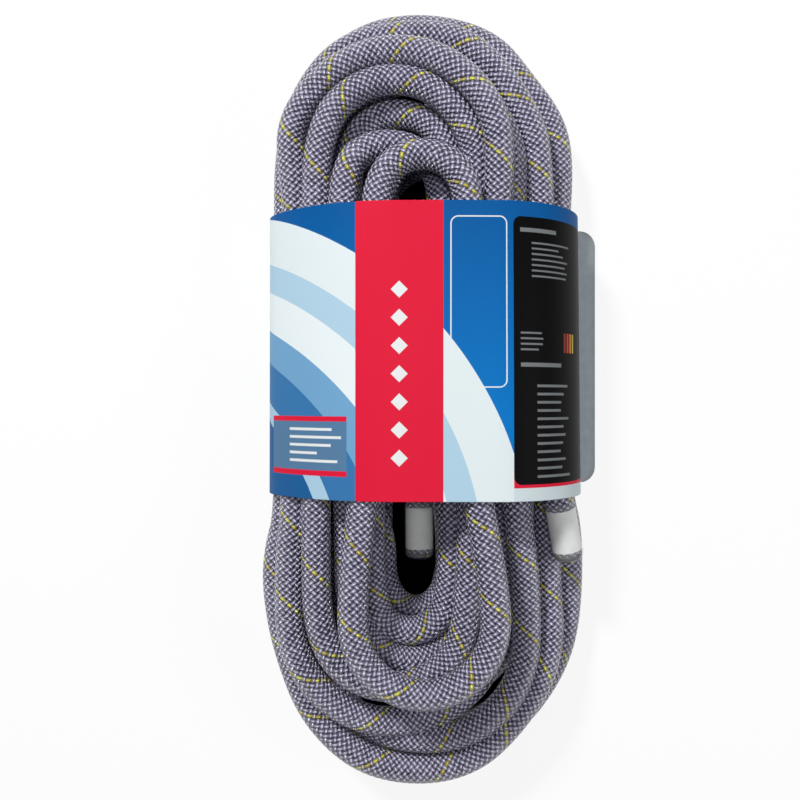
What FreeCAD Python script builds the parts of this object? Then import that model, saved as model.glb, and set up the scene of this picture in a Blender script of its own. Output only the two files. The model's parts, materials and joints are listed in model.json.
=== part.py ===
import FreeCAD, Part
import math
import os

from FreeCAD import Vector

# A climbing rope wound in an oblong hank and held by a printed card sleeve.
# The hank lies flat: X across it, Y along its loops, +Z out of its front face.
# The origin is the middle of the hank, on the surface that the sleeve's back panel rests on.

doc = FreeCAD.newDocument("climbing_rope")

# Driving dimensions in millimetres, counts as plain numbers

DRIVING = [
    ("rope_diameter", 8.5),
    ("rope_flats", 5),
    ("sheath_wall", 1.1),
    ("core_strand_diameter", 2.0),
    ("core_strands_around", 6),
    ("core_strand_flats", 6),
    ("ease_lead", 25.0),
    ("first_end_offset", 1.6),
    ("first_end_reach", 48.2),
    ("first_end_straight", 42.2),
    ("first_lean_length", 30.0),
    ("card_thickness", 0.5),
    ("card_height", 81.5),
    ("card_middle", 13.2),
    ("card_top_slack", 0.4),
    ("card_bottom_slack", 0.3),
    ("card_left_slack", 0.9),
    ("card_right_slack", 0.5),
    ("card_shoulder_radius", 16.5),
    ("card_front_radius", 45.0),
    ("card_front_angle", 51.4),
    ("card_right_radius", 28.2),
    ("card_right_slope", 6.0),
    ("card_fold_radius", 1.2),
    ("glue_flap", 16.0),
    ("glue_thickness", 0.2),
    ("glue_lines", 3),
    ("glue_line_width", 3.0),
    ("glue_end_margin", 4.0),
    ("tab_reach", 7.5),
    ("tab_corner_radius", 5.0),
    ("tail_length", 19.0),
    ("label_length", 13.0),
    ("label_thickness", 0.1),
    ("label_margin", 1.2),
    ("shrink_length", 17.5),
    ("shrink_wall", 0.2),
    ("shrink_flats", 10),
    ("shrink_over_tip", 1.4),
    ("tip_length", 2.6),
    ("tip_chamfer", 1.6),
    ("tip_shrinkage", 0.1),
    ("fit_gap", 0.03),
]

sheet = doc.addObject("Spreadsheet::Sheet", "Dimensions")
for row, (alias, number) in enumerate(DRIVING, start=1):
    sheet.set("A%d" % row, alias)
    sheet.set("B%d" % row, str(number))
    sheet.setAlias("B%d" % row, alias)
doc.recompute()


def size(alias):
    return float(getattr(sheet, alias))


rope = size("rope_diameter")
card = size("card_thickness")

# The lowest legs lie on the glued overlap of the card, inside the sleeve
floor_of_hank = 2.0 * card + size("glue_thickness") + size("card_bottom_slack")

# Height of the lowest legs' centreline. Every height on the route is given as a rise above it.
lowest = floor_of_hank + rope / 2.0

# The half turns in the order in which the rope is wound, from the first end to the last one.
# The rope goes up the hank in a left leg, over the top, down in a right leg and round the bottom.
# Start X, rise at the start, finish X, rise at the finish, Y of the centre.

HALF_TURNS = [
    (-4.3, 0.0, 13.3, 0.0, 53.0),
    (5.4, 9.25, -12.5, 9.25, -50.5),
    (-22.4, 19.0, 7.0, 19.0, 68.6),
    (7.0, 19.0, -12.5, 19.0, -54.0),
    (-12.5, 9.25, 22.5, 9.15, 58.0),
    (13.3, 0.0, -13.3, 0.0, -54.0),
    (-13.3, 0.0, 22.5, 0.0, 57.0),
    (22.5, 0.0, -22.3, 0.0, -58.0),
    (-22.3, 0.0, 31.7, 0.0, 63.0),
    (31.7, 0.0, -31.3, 0.15, -62.0),
    (-31.3, 0.15, 40.9, 0.0, 67.0),
    (44.2, 4.75, -40.0, 3.75, -69.0),
    (-38.5, 5.75, 42.2, 9.05, 71.5),
    (36.8, 13.45, -41.2, 14.45, -73.4),
    (-41.2, 14.45, 35.3, 18.25, 71.5),
    (30.2, 19.75, -32.5, 9.45, -71.6),
    (-31.3, 16.15, 26.3, 20.75, 67.0),
    (25.0, 11.75, -37.7, 22.75, -62.6),
    (-37.7, 22.75, 22.8, 30.35, 70.2),
    (13.3, 26.25, -30.6, 28.3, -60.0),
    (-30.6, 28.3, 15.8, 24.35, 68.0),
    (16.0, 16.25, -21.6, 22.85, -54.5),
    (-21.6, 32.05, 1.2, 25.85, 60.2),
    (19.7, 36.25, -19.8, 36.25, -61.6),
    (-13.5, 35.75, 12.0, 36.25, 55.0),
]
FIRST_TURN = HALF_TURNS[0]
LAST_TURN = HALF_TURNS[-1]

# Between two half turns a leg goes straight along the hank for its first lead, eases to the
# next half turn's side and height, and goes straight for its second lead. These legs have
# leads of their own, and some make way for others through points chosen by hand: the leg
# after the numbered turn, its two leads, and each point's X, Y and rise.

LEG_WAYS = {
    0: (6.0, 60.0, []),
    1: (9.0, 38.0, [(-21.8, -15.0, 10.25)]),
    3: (34.0, 33.0, []),
    4: (24.0, 30.0, [(14.2, 0.0, 7.2)]),
    11: (27.0, 93.5, []),
    14: (49.5, 16.6, [(27.0, -5.0, 23.65), (26.3, -28.0, 24.25)]),
    15: (21.6, 66.6, []),
    16: (9.6, 58.0, []),
    18: (12.0, 35.0, [(19.0, 28.0, 26.7)]),
    20: (8.0, 49.5, [(16.1, 33.0, 18.6)]),
    21: (20.0, 25.2, []),
    22: (10.0, 10.0, [(7.5, 8.0, 35.9)]),
    23: (10.0, 20.0, [(-16.7, -25.0, 35.0)]),
}

# The last leg crosses over the right legs under the sleeve and comes down beside them, to the
# labelled end. X, Y and rise, the last point the end of the sheath.

CROSSING = [
    (12.0, 46.0, 36.25),
    (14.8, 36.0, 36.05),
    (23.5, 15.0, 36.25),
    (31.5, -1.0, 32.55),
    (37.4, -14.0, 25.25),
    (44.4, -46.0, 18.65),
]

# The sleeve closes round the outermost legs inside it and round the highest one
hank_left = -min(start_x for start_x, _, _, _, _ in HALF_TURNS)
hank_right = max(finish_x for _, _, finish_x, _, _ in HALF_TURNS)
hank_rise = max(max(start, finish) for _, start, _, finish, _ in HALF_TURNS)


def place(x, y, climbed):
    """A point of the route, from its rise above the lowest legs."""
    return Vector(x, y, lowest + climbed)


crossing_points = [place(*point) for point in CROSSING]

# The first end hangs in the middle of the hank, in the lowest level, and is straight up to
# the point where it leans over to its first loop

first_tip = place(-size("first_end_offset"), -size("first_end_reach"), 0.0)
first_lean = place(first_tip.x, first_tip.y + size("first_end_straight"), 0.0)


# The centreline of the rope, as straight runs and tangent arcs. A rounded corner takes up
# this share of the shorter run beside it, so that a straight piece is left between two corners.
# A corner that turns by less than the straight angle, in radians, is none.

CORNER_SHARE = 0.45
STRAIGHT = 0.0005


def rounded_leg(points):
    """Edges through the points, each inner corner rounded by a tangent arc, and the radii."""
    edges = []
    radii = []
    here = points[0]
    for before, corner, after in zip(points, points[1:], points[2:]):
        inward = (before - corner).normalize()
        outward = (after - corner).normalize()
        half_angle = (math.pi - inward.getAngle(outward)) / 2.0
        if half_angle < STRAIGHT:
            continue
        setback = CORNER_SHARE * min((before - corner).Length, (after - corner).Length)
        radius = setback / math.tan(half_angle)
        start = corner + inward * setback
        finish = corner + outward * setback
        bisector = (inward + outward).normalize()
        middle = corner + bisector * (radius / math.cos(half_angle) - radius)
        edges.append(Part.LineSegment(here, start).toShape())
        edges.append(Part.Arc(start, middle, finish).toShape())
        radii.append(radius)
        here = finish
    edges.append(Part.LineSegment(here, points[-1]).toShape())
    return edges, radii


def half_turn(turn):
    """The arc of one half turn, tilted where its two legs differ in height, and its radius."""
    start_x, start_rise, finish_x, finish_rise, centre_y = turn
    start = place(start_x, centre_y, start_rise)
    finish = place(finish_x, centre_y, finish_rise)
    radius = (finish - start).Length / 2.0
    outward = math.copysign(radius, centre_y)
    apex = (start + finish) * 0.5 + Vector(0, outward, 0)
    return Part.Arc(start, apex, finish).toShape(), radius


def leg_points(number):
    """The leg after a half turn: level where it leaves it and where it meets the next one."""
    turn, following = HALF_TURNS[number], HALF_TURNS[number + 1]
    start = place(turn[2], turn[4], turn[3])
    finish = place(following[0], following[4], following[1])
    lead = size("ease_lead")
    first_lead, second_lead, way = LEG_WAYS.get(number, (lead, lead, []))
    along = Vector(0, math.copysign(1.0, finish.y - start.y), 0)
    middle = [place(*point) for point in way]
    return [start, start + along * first_lead] + middle + [finish - along * second_lead, finish]


def rope_route():
    """All edges of the wound rope, from the first end's joint to the last one's, and radii."""
    joint = first_tip + (first_lean - first_tip).normalize() * size("tail_length")
    lean_top = place(FIRST_TURN[0], first_lean.y + size("first_lean_length"), FIRST_TURN[1])
    first_start = place(FIRST_TURN[0], FIRST_TURN[4], FIRST_TURN[1])
    edges, radii = rounded_leg([joint, first_lean, lean_top, first_start])
    for number, turn in enumerate(HALF_TURNS):
        arc, radius = half_turn(turn)
        if turn is LAST_TURN:
            last_tip = crossing_points[-1]
            back = (crossing_points[-2] - last_tip).normalize()
            start = place(turn[2], turn[4], turn[3])
            points = [start] + crossing_points[:-1] + [last_tip + back * size("tail_length")]
        else:
            points = leg_points(number)
        run, bends = rounded_leg(points)
        edges += [arc] + run
        radii += [radius] + bends
    return edges, radii


def least_gap(edges, diameter):
    """Least distance between two stretches of the rope, less its diameter, on points."""
    step = 2.0
    near = 3.0 * diameter
    cell = 2.0 * diameter
    points = []
    travelled = 0.0
    for edge in edges:
        count = max(2, int(edge.Length / step) + 1)
        for number, point in enumerate(edge.discretize(Number=count)[:-1]):
            points.append((travelled + edge.Length * number / (count - 1), point))
        travelled += edge.Length
    cells = {}
    for reached, point in points:
        key = (int(point.x // cell), int(point.y // cell), int(point.z // cell))
        cells.setdefault(key, []).append((reached, point))
    offsets = [(a, b, c) for a in (-1, 0, 1) for b in (-1, 0, 1) for c in (-1, 0, 1)]
    least = 1000.0
    where = None
    for (a, b, c), members in cells.items():
        for shift in offsets:
            others = cells.get((a + shift[0], b + shift[1], c + shift[2]), [])
            for reached, point in members:
                for other_reached, other in others:
                    if other_reached - reached < near:
                        continue
                    gap = point.distanceToPoint(other) - diameter
                    if gap < least:
                        least = gap
                        where = (point, other)
    return least, where


def rope_section(centre):
    """The rope's faceted section across the Y direction: a flat below, corners on the diameter."""
    sides = int(size("rope_flats"))
    corners = []
    for number in range(sides + 1):
        angle = -math.pi / 2.0 + 2.0 * math.pi * (number + 0.5) / sides
        offset = Vector(math.cos(angle), 0, math.sin(angle)) * (rope / 2.0)
        corners.append(centre + offset)
    return Part.makePolygon(corners)


def add_feature(label, shape):
    feature = doc.addObject("Part::Feature", label)
    feature.Label = label
    feature.Shape = shape
    return feature


parts = []

route, bend_radii = rope_route()
path = Part.Wire(route)
section = rope_section(route[0].Vertexes[0].Point)
winding = Part.BRepOffsetAPI.MakePipeShell(path)
winding.add(section)
winding.build()
winding.makeSolid()
parts.append(add_feature("rope_hank", winding.shape()))


# The free ends: sheath over core strands, a paper label and a clear heat-shrink tube round
# the sheath, and a melted tip. Each is made along +Z from the joint and then turned into place.

def cylinder(name, radius, length, start="0"):
    """A cylinder along Z whose radius, length and start are formulas of the sheet's cells."""
    solid = doc.addObject("Part::Cylinder", name)
    solid.setExpression("Radius", radius)
    solid.setExpression("Height", length)
    solid.setExpression("Placement.Base.z", start)
    return solid


def prism(name, radius, length, start="0", flats="Dimensions.rope_flats"):
    """As cylinder, with flat sides and its corners on the radius."""
    solid = doc.addObject("Part::Prism", name)
    solid.setExpression("Polygon", flats)
    solid.setExpression("Circumradius", radius)
    solid.setExpression("Height", length)
    solid.setExpression("Placement.Base.z", start)
    return solid


def tube(label, outer, inner):
    """A tube along Z: an outer solid less the one that is its bore."""
    cut = doc.addObject("Part::Cut", label)
    cut.Label = label
    cut.Base = outer
    cut.Tool = inner
    return cut


def flat_sided_tube(label, bore, outside, length, start, flats="Dimensions.rope_flats"):
    outer = prism(label + "_outside", outside, length, start, flats)
    inner = prism(label + "_bore", bore, length + " + 2", start + " - 1", flats)
    return tube(label, outer, inner)


SHEATH = "Dimensions.rope_diameter / 2"
LABEL_BORE = SHEATH + " + Dimensions.fit_gap"
LABEL_OUTSIDE = LABEL_BORE + " + Dimensions.label_thickness"
SHRINK_BORE = LABEL_OUTSIDE + " + Dimensions.fit_gap"
SHRINK_OUTSIDE = SHRINK_BORE + " + Dimensions.shrink_wall"


def core_strands(label):
    """The load-bearing strands inside the sheath: one in the middle and the rest round it."""
    count = int(size("core_strands_around"))
    bore = rope - 2.0 * size("sheath_wall")
    ring = (bore - size("core_strand_diameter")) / 2.0 - size("fit_gap")
    strands = []
    for number in range(count + 1):
        strand = prism("%s_%d" % (label, number), "Dimensions.core_strand_diameter / 2",
                       "Dimensions.tail_length", flats="Dimensions.core_strand_flats")
        if number:
            angle = 2.0 * math.pi * number / count
            strand.Placement.Base = Vector(ring * math.cos(angle), ring * math.sin(angle), 0)
        strands.append(strand)
    group = doc.addObject("Part::Compound", label)
    group.Label = label
    group.Links = strands
    return group


def melted_tip(label):
    """The end where sheath and core are fused: a short plug that narrows to its face."""
    plug = prism(label + "_plug", SHEATH + " - Dimensions.tip_shrinkage",
                 "Dimensions.tip_length", "Dimensions.tail_length")
    doc.recompute()
    top = max(edge.BoundBox.ZMin for edge in plug.Shape.Edges) - size("fit_gap")
    rim = [number for number, edge in enumerate(plug.Shape.Edges, start=1)
           if edge.BoundBox.ZMin > top]
    narrowed = doc.addObject("Part::Chamfer", label)
    narrowed.Label = label
    narrowed.Base = plug
    edge_size = size("tip_chamfer")
    narrowed.Edges = [(number, edge_size, edge_size) for number in rim]
    return narrowed


def rope_end(name, tip, inner_point, joint_section):
    """All the pieces of one free end, whose sheath ends at tip."""
    outward = (tip - inner_point).normalize()
    joint = tip - outward * size("tail_length")
    label_start = "Dimensions.tail_length - Dimensions.label_margin - Dimensions.label_length"
    shrink_start = "Dimensions.tail_length + Dimensions.shrink_over_tip - Dimensions.shrink_length"
    sheath = "sheath_tail_" + name
    sheath_outside = prism(sheath + "_outside", SHEATH, "Dimensions.tail_length")
    sheath_bore = cylinder(sheath + "_bore", SHEATH + " - Dimensions.sheath_wall",
                           "Dimensions.tail_length + 2", "-1")
    pieces = [
        tube(sheath, sheath_outside, sheath_bore),
        core_strands("core_strands_" + name),
        flat_sided_tube("end_label_" + name, LABEL_BORE, LABEL_OUTSIDE,
                        "Dimensions.label_length", label_start),
        flat_sided_tube("heat_shrink_" + name, SHRINK_BORE, SHRINK_OUTSIDE,
                        "Dimensions.shrink_length", shrink_start, "Dimensions.shrink_flats"),
        melted_tip("melted_tip_" + name),
    ]
    turn = FreeCAD.Rotation(Vector(0, 0, 1), outward)
    corner = turn.inverted().multVec(joint_section.Vertexes[0].Point - joint)
    flats_turn = FreeCAD.Rotation(Vector(0, 0, 1), math.degrees(math.atan2(corner.y, corner.x)))
    for piece in pieces:
        piece.Placement = FreeCAD.Placement(joint, turn * flats_turn)
    return pieces


parts += rope_end("inner", first_tip, first_lean, winding.firstShape())
parts += rope_end("outer", crossing_points[-1], crossing_points[-2], winding.lastShape())


# The card sleeve: one strip of board wrapped round the hank. Its middle line starts at the
# tab, runs under the hank, up round the left side, across the front and down the right side,
# and ends in a flap that is folded in under the hank and glued to the back panel.

def card_middle_line():
    """The start of the strip's middle line, and its runs and turns in order, with Z as Y."""
    half = card / 2.0
    top = lowest + hank_rise + rope / 2.0 + size("card_top_slack") + half
    left = -(hank_left + rope / 2.0 + size("card_left_slack") + half)
    right = hank_right + rope / 2.0 + size("card_right_slack") + half
    bend = math.radians(size("card_front_angle"))
    slope = math.radians(size("card_right_slope"))
    shoulder = size("card_shoulder_radius")
    front = size("card_front_radius")
    side = size("card_right_radius")
    fold = size("card_fold_radius")
    low_radius = top - half - shoulder * math.cos(bend) - front * (1.0 - math.cos(bend))
    flap_height = 1.5 * card + size("glue_thickness")
    side_drop = side * (1.0 - math.sin(slope))
    run_drop = top - side_drop - flap_height - fold * (1.0 + math.sin(slope))
    fold_x = right + run_drop * math.tan(slope)
    front_start = left + shoulder * (1.0 - math.sin(bend)) + front * math.sin(bend)
    moves = [
        ("run", fold_x + size("tab_reach") - (left + low_radius)),
        ("turn", low_radius, math.pi / 2.0),
        ("turn", shoulder, math.pi / 2.0 - bend),
        ("turn", front, bend),
        ("run", right - side * math.cos(slope) - front_start),
        ("turn", side, math.pi / 2.0 - slope),
        ("run", run_drop / math.cos(slope)),
        ("turn", fold, math.pi / 2.0 + slope),
        ("run", size("glue_flap")),
    ]
    return Vector(fold_x + size("tab_reach"), half, 0), moves


def offset_strip(start, moves, offset):
    """The middle line moved sideways: lines as two points, arcs as three."""
    here = Vector(start)
    heading = math.pi
    pieces = []
    for move in moves:
        aside = Vector(math.sin(heading), -math.cos(heading), 0)
        if move[0] == "run":
            there = here + Vector(math.cos(heading), math.sin(heading), 0) * move[1]
            pieces.append([here + aside * offset, there + aside * offset])
            here = there
            continue
        radius, angle = move[1], move[2]
        centre = here + aside * radius
        points = []
        for share in (0.0, 0.5, 1.0):
            turned = heading - angle * share
            out = Vector(-math.sin(turned), math.cos(turned), 0)
            points.append(centre + out * (radius - offset))
        pieces.append(points)
        heading -= angle
        here = centre + Vector(-math.sin(heading), math.cos(heading), 0) * radius
    return pieces


def origin_plane(body, role):
    return [plane for plane in body.Origin.OriginFeatures if plane.Role == role][0]


def sketch_curve(sketch, points):
    if len(points) == 2:
        sketch.addGeometry(Part.LineSegment(points[0], points[1]), False)
    else:
        sketch.addGeometry(Part.Arc(points[0], points[1], points[2]), False)


def card_sleeve():
    body = doc.addObject("PartDesign::Body", "card_sleeve")
    body.Label = "card_sleeve"
    sketch = body.newObject("Sketcher::SketchObject", "card_section")
    sketch.AttachmentSupport = [(origin_plane(body, "XZ_Plane"), "")]
    sketch.MapMode = "FlatFace"
    start, moves = card_middle_line()
    outside = offset_strip(start, moves, -card / 2.0)
    inside = offset_strip(start, moves, card / 2.0)
    for points in outside + inside:
        sketch_curve(sketch, points)
    sketch_curve(sketch, [outside[0][0], inside[0][0]])
    sketch_curve(sketch, [outside[-1][-1], inside[-1][-1]])
    strip = body.newObject("PartDesign::Pad", "card_strip")
    strip.Profile = sketch
    strip.setExpression("Length", "Dimensions.card_height")
    strip.Midplane = True
    doc.recompute()
    tab_end = start.x
    corners = []
    for number, edge in enumerate(strip.Shape.Edges, start=1):
        box = edge.BoundBox
        upright = box.ZLength > 0.9 * card and box.XLength < 0.01 and box.YLength < 0.01
        if upright and abs(box.XMin - tab_end) < 0.01:
            corners.append("Edge%d" % number)
    rounded = body.newObject("PartDesign::Fillet", "tab_corners")
    rounded.Base = (strip, corners)
    rounded.setExpression("Radius", "Dimensions.tab_corner_radius")
    body.Tip = rounded
    body.setExpression("Placement.Base.y", "Dimensions.card_middle")
    return body


def seam_glue():
    """Lines of glue between the folded-in flap and the back panel."""
    start, moves = card_middle_line()
    flap = offset_strip(start, moves, 0.0)[-1]
    count = int(size("glue_lines"))
    spacing = size("glue_flap") / count
    lines = []
    for number in range(count):
        line = doc.addObject("Part::Box", "glue_line_%d" % number)
        line.setExpression("Length", "Dimensions.glue_line_width")
        line.setExpression("Width", "Dimensions.card_height - 2 * Dimensions.glue_end_margin")
        line.setExpression("Height", "Dimensions.glue_thickness")
        line.setExpression("Placement.Base.y", "Dimensions.card_middle"
                           " - Dimensions.card_height / 2 + Dimensions.glue_end_margin")
        line.setExpression("Placement.Base.z", "Dimensions.card_thickness")
        line.Placement.Base.x = flap[1].x + spacing * (number + 0.5) - size("glue_line_width") / 2.0
        lines.append(line)
    group = doc.addObject("Part::Compound", "seam_glue")
    group.Label = "seam_glue"
    group.Links = lines
    return group


parts.append(card_sleeve())
parts.append(seam_glue())
doc.recompute()

for item in doc.Objects:
    if "Invalid" in item.State or "Error" in item.State:
        raise RuntimeError("%s failed: %s" % (item.Label, item.State))
for piece in parts:
    if piece.Shape.isNull() or not piece.Shape.isValid():
        raise RuntimeError("%s has no valid shape" % piece.Label)

section_area = Part.Face(section).Area
hank_volume = parts[0].Shape.Volume
print("rope wound: %.0f mm long, %d bends, tightest %.1f mm"
      % (path.Length, len(bend_radii), min(bend_radii)))
print("bend radii: " + " ".join("%.1f" % radius for radius in bend_radii))
print("volume over section times length: %.4f" % (hank_volume / section_area / path.Length))
gap, closest = least_gap(route, rope)
print("least gap of the rope to itself: %.2f mm" % gap, closest)

os.makedirs("parts", exist_ok=True)
for piece in parts:
    piece.Shape.exportStep("parts/%s.step" % piece.Label)
    box = piece.Shape.BoundBox
    print("%s: %d solids, x %.2f to %.2f, y %.2f to %.2f, z %.2f to %.2f"
          % (piece.Label, len(piece.Shape.Solids), box.XMin, box.XMax, box.YMin, box.YMax,
             box.ZMin, box.ZMax))
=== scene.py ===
import json
import math
from bisect import bisect_right

import bmesh
import bpy
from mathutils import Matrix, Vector, noise

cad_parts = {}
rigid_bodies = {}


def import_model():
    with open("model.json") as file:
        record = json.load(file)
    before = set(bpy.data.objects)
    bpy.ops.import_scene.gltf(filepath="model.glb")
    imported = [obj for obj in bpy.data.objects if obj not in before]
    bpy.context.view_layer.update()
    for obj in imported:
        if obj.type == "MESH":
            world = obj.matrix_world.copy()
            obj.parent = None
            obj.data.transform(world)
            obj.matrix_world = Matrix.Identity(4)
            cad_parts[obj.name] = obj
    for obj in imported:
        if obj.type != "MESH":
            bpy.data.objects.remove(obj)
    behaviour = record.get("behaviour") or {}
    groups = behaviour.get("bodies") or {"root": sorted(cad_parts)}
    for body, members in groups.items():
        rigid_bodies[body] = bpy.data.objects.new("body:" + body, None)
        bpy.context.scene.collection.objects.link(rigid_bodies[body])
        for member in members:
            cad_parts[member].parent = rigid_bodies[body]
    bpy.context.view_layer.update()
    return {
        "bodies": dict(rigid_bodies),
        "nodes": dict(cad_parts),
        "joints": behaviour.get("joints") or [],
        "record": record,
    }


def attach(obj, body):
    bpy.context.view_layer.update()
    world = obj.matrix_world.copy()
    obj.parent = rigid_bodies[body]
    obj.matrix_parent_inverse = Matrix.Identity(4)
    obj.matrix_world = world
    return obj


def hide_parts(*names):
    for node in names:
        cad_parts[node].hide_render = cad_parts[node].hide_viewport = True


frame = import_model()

# A wound climbing rope in its card sleeve, seen from straight above.
# Lengths in the dictionaries are millimetres, and mm() turns them to metres.

scene = bpy.context.scene
scene.view_settings.view_transform = "Standard"
noise.seed_set(9)  # the strands stray the same way in every run


def mm(value):
    return value * 0.001


cameraValues = {
    "place": (-6.7, 0.0, 277.0),  # straight above, a little left of the middle
    "lens": 38.35,  # focal length over a 36 mm sensor
}
camera = bpy.data.cameras.new("photoCamera")
camera.lens = cameraValues["lens"]
camera.sensor_width = 36.0
camera.clip_start = 0.01
cameraObject = bpy.data.objects.new("photoCamera", camera)
cameraObject.location = [mm(value) for value in cameraValues["place"]]
scene.collection.objects.link(cameraObject)
scene.camera = cameraObject


# the rope's route: the same listed points as the solid's, then small changes
ropeValues = {
    "diameter": 8.5,
    "lowest": 5.75,  # height of the lowest legs' middle
    "lead": 25.0,  # straight start and end of a leg that names none
    "wander": 0.5,  # how far a point strays from a perfect winding
    "wanderPace": 31.0,  # noise cells in a metre
    "wanderLift": 0.3,  # share of the straying that is upward
    "sides": 24,
    "ringSpacing": 2.2,
    "swell": 0.012,  # how unevenly thick it is, as a share
    "swellPace": 60.0,  # noise cells in a metre
    "twist": (0.9, 0.31),  # slow turning of the braid about the rope: radians, metres
    "shiver": (0.5, 0.083),  # quicker turning on top of it
    "length": 5.12,  # metres, tip to tip
}

# start X, rise, finish X, rise, Y of the centre
halfTurns = [
    (-4.3, 0.0, 13.3, 0.0, 53.0),
    (5.4, 9.25, -12.5, 9.25, -50.5),
    (-22.4, 19.0, 7.0, 19.0, 68.6),
    (7.0, 19.0, -12.5, 19.0, -54.0),
    (-12.5, 9.25, 22.5, 9.15, 58.0),
    (13.3, 0.0, -13.3, 0.0, -54.0),
    (-13.3, 0.0, 22.5, 0.0, 57.0),
    (22.5, 0.0, -22.3, 0.0, -58.0),
    (-22.3, 0.0, 31.7, 0.0, 63.0),
    (31.7, 0.0, -31.3, 0.15, -62.0),
    (-31.3, 0.15, 40.9, 0.0, 67.0),
    (44.2, 4.75, -40.0, 3.75, -69.0),
    (-38.5, 5.75, 42.2, 9.05, 71.5),
    (36.8, 13.45, -41.2, 14.45, -73.4),
    (-41.2, 14.45, 35.3, 18.25, 71.5),
    (30.2, 19.75, -32.5, 9.45, -71.6),
    (-31.3, 16.15, 26.3, 20.75, 67.0),
    (25.0, 11.75, -37.7, 22.75, -62.6),
    (-37.7, 22.75, 22.8, 30.35, 70.2),
    (13.3, 26.25, -30.6, 28.3, -60.0),
    (-30.6, 28.3, 15.8, 24.35, 68.0),
    (16.0, 16.25, -21.6, 22.85, -54.5),
    (-21.6, 32.05, 1.2, 25.85, 60.2),
    (19.7, 36.25, -19.8, 36.25, -61.6),
    (-13.5, 35.75, 12.0, 36.25, 55.0),
]

# the leg after the numbered half turn: first lead, second lead, points between
legWays = {
    1: (9.0, 38.0, [(-21.8, -15.0, 10.25)]),
    3: (34.0, 33.0, []),
    4: (24.0, 30.0, [(14.2, 0.0, 7.2)]),
    14: (49.5, 16.6, [(27.0, -5.0, 23.65), (26.3, -28.0, 24.25)]),
    15: (21.6, 66.6, []),
    16: (9.6, 58.0, []),
    18: (12.0, 35.0, [(19.0, 28.0, 26.7)]),
    20: (8.0, 49.5, [(16.1, 33.0, 18.6)]),
    21: (20.0, 25.2, []),
    22: (10.0, 10.0, [(7.5, 8.0, 35.9)]),
    23: (10.0, 20.0, [(-16.7, -25.0, 35.0)]),
}
startRun = [(-0.5, -48.2, 0.0), (-0.5, -6.0, 0.0), (-4.3, 24.0, 0.0)]
crossing = [
    (12.0, 46.0, 36.25),
    (14.8, 36.0, 36.05),
    (23.5, 15.0, 36.25),
    (31.5, -1.0, 32.55),
    (36.6, -13.5, 25.55),
    (42.9, -45.0, 19.15),
]

# how a half turn of the real rope differs: start X, finish X, and reach as a share
turnNudges = {
    0: (0.0, 0.0, 0.7),
    1: (2.9, 0.5, 1.33),
    2: (0.0, 1.2, 1.05),
    3: (1.3, -3.0, 1.18),
    14: (0.0, -0.3, 1.0),
    15: (0.3, 0.0, 0.945),
    17: (0.0, -1.2, 1.02),
    18: (-1.4, -1.5, 0.99),
    20: (0.0, -0.8, 1.05),
    21: (0.0, 0.0, 1.165),
    22: (-1.3, 3.6, 0.85),
}

# the outermost half turns sag off their circles, so their corners are listed one by one: X, Y
turnShapes = {
    11: [(45.6, -70.0), (40.1, -86.0), (28.6, -101.0), (11.0, -108.7), (-13.0, -108.4),
         (-31.0, -94.0), (-39.5, -74.0)],
    12: [(-38.7, 80.0), (-34.5, 98.3), (-19.0, 112.8), (1.5, 115.3), (21.3, 110.2),
         (31.5, 97.5), (39.8, 86.0), (42.3, 74.0)],
    13: [(39.2, -76.5), (30.0, -95.0), (12.5, -111.2), (-14.3, -111.3), (-32.0, -96.5),
         (-41.0, -75.0)],
    14: [(-40.6, 74.0), (-36.0, 91.0), (-24.6, 105.6), (-7.0, 109.3), (9.5, 108.6),
         (22.0, 99.5), (30.5, 86.0), (34.8, 74.0)],
}

# legs that bulge below the sleeve or lie close to its sides: X, Y, rise
legShapes = {
    0: [(13.3, 47.0, 0.0), (5.4, 9.5, 9.25), (5.6, -22.0, 9.25), (8.3, -38.0, 9.25)],
    10: [(40.9, 42.0, 0.0), (42.2, -10.0, 2.6), (42.9, -28.0, 3.9), (46.4, -42.0, 4.75)],
    11: [(-40.0, -58.0, 3.75), (-39.3, -46.0, 5.1), (-38.4, -36.0, 6.15),
         (-38.0, 52.0, 6.15), (-38.2, 66.0, 5.75)],
    12: [(41.3, 50.0, 9.1), (38.6, -22.0, 11.5), (37.8, -52.0, 11.4)],
    13: [(-43.9, -56.0, 14.45), (-43.2, -44.0, 14.45), (-40.2, -33.0, 14.45),
         (-40.5, 46.5, 14.45)],
    17: [(-39.2, -46.0, 22.75), (-37.0, -32.0, 22.75), (-36.9, 57.0, 22.75),
         (-38.2, 65.0, 22.75)],
}


def routePlace(x, y, rise):
    return Vector((mm(x), mm(y), mm(ropeValues["lowest"] + rise)))


def turnEnds(number):
    startX, startRise, finishX, finishRise, centreY = halfTurns[number]
    shiftStart, shiftFinish, _ = turnNudges.get(number, (0.0, 0.0, 1.0))
    start = routePlace(startX + shiftStart, centreY, startRise)
    return start, routePlace(finishX + shiftFinish, centreY, finishRise)


def turnPoints(number):
    start, finish = turnEnds(number)
    if number in turnShapes:
        corners = turnShapes[number]
        heights = [start.z + (finish.z - start.z) * (place + 0.5) / len(corners)
                   for place in range(len(corners))]
        return [Vector((mm(x), mm(y), height)) for (x, y), height in zip(corners, heights)]
    middle = (start + finish) / 2.0
    half = (finish - start) / 2.0
    stretch = turnNudges.get(number, (0.0, 0.0, 1.0))[2]
    reach = math.copysign(half.length * stretch, halfTurns[number][4])
    widen = 1.0 / math.cos(math.pi / 8.0)
    points = []
    for step in range(4):
        angle = math.pi / 8.0 + step * math.pi / 4.0
        outward = Vector((0.0, reach * math.sin(angle) * widen, 0.0))
        points.append(middle - half * (math.cos(angle) * widen) + outward)
    return points


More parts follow.
